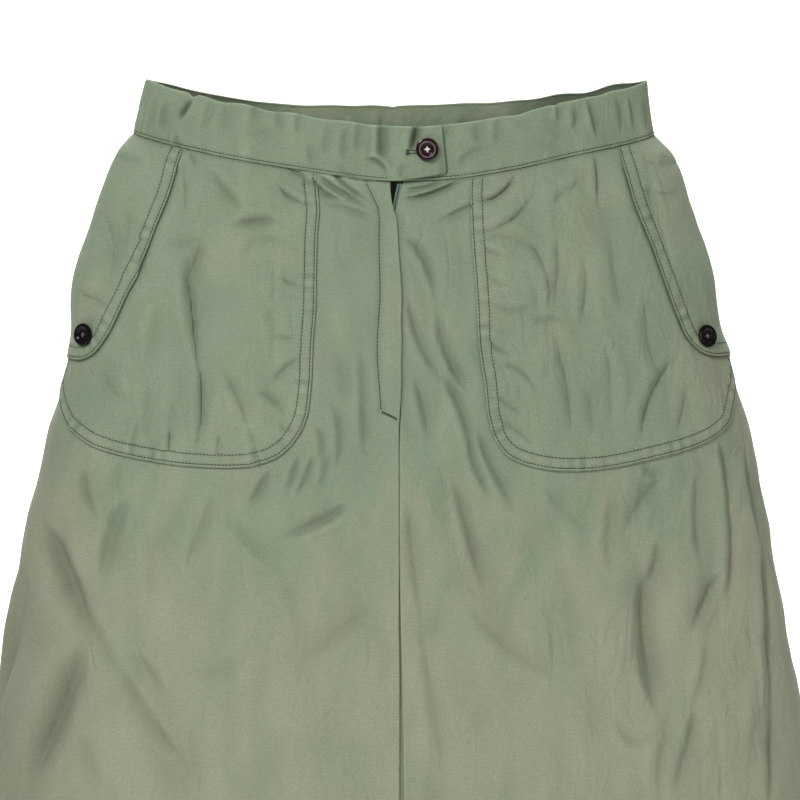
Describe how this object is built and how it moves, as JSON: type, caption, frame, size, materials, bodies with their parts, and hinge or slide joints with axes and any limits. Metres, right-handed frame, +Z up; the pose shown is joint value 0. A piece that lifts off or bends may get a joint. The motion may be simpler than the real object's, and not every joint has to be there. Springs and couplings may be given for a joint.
{
  "type": "cargo utility skirt",
  "caption": "A-line utility skirt with a buttoned tab waistband, lapped zip fly, curved patch pockets under buttoned hip flaps, and a front pleat.",
  "frame": {"origin": "centre of the waistband ring, on the line between the tops of the side seams, where a waist holds the skirt up", "axes": "+Z up out of the waist, +X to the wearer's left, and the front of the skirt faces -Y"},
  "size_m": [0.6052, 0.1746, 0.702],
  "materials": {
    "poplin": "matt sage green poplin with a warm shot cast",
    "zip_tape": "matt green woven tape",
    "zip_metal": "satin",
    "button": "dark polished horn-like plastic"
  },
  "bodies": {
    "root": {"front_right": "poplin", "front_left": "poplin", "back": "poplin", "waistband": "poplin", "pocket_right": "poplin", "pocket_left": "poplin", "flap_right": "poplin", "flap_left": "poplin", "pleat_insert": "poplin", "zip_tape_right": "zip_tape", "zip_tape_left": "zip_tape", "zip_slider": "zip_metal", "button_waist": "button", "button_flap_right": "button", "button_flap_left": "button"}
  },
  "joints": []
}
